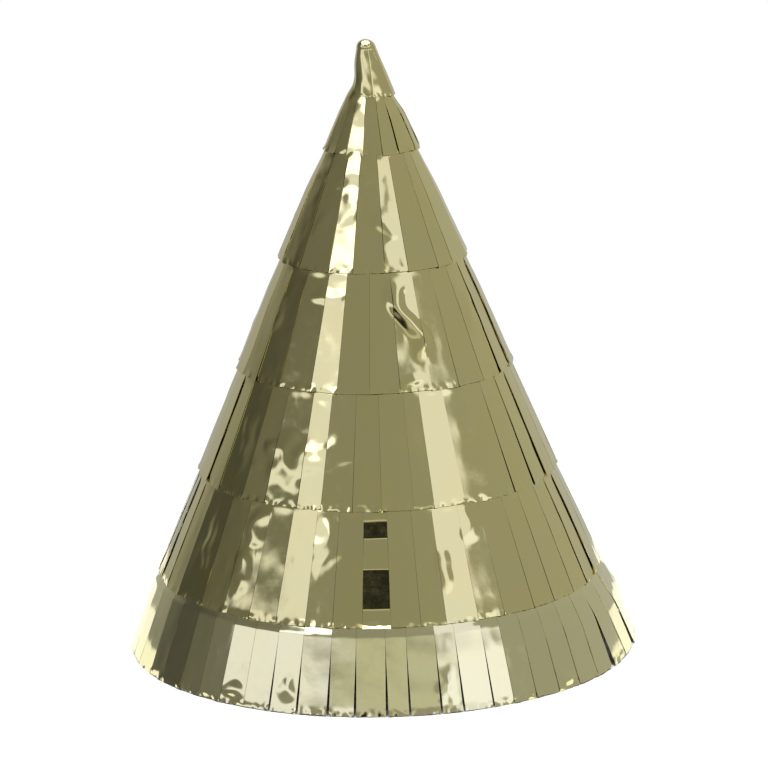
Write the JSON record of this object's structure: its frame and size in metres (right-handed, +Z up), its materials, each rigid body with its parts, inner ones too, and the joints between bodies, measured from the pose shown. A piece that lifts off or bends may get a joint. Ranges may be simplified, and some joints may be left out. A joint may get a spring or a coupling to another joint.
{
  "type": "party hat",
  "caption": "Cone party hat in card, covered with tiers of slit gold foil fringe under a foil cap, with punched holes for a chin elastic.",
  "frame": {"origin": "on the hat's axis, level with the fringe tips that the hat stands on", "axes": "+Z up along the hat's axis to its tip; the back seam faces +Y and the elastic's holes lie on X"},
  "size_m": [0.13, 0.13, 0.1568],
  "materials": {
    "card": "matte",
    "foil": "polished",
    "foil_pale": "polished",
    "tape": "satin",
    "glue": "satin"
  },
  "bodies": {
    "root": {"card_cone": "card", "seam_tape": "tape", "foil_tip_cap": "foil", "tip_glue_dab": "glue", "fringe_band_1": "foil", "fringe_band_2": "foil", "fringe_band_3": "foil", "fringe_band_4": "foil", "fringe_band_5": "foil", "fringe_band_6": "foil_pale", "band_tape_1": "tape", "band_tape_2": "tape", "band_tape_3": "tape", "band_tape_4": "tape", "band_tape_5": "tape", "band_tape_6": "tape"}
  },
  "joints": []
}
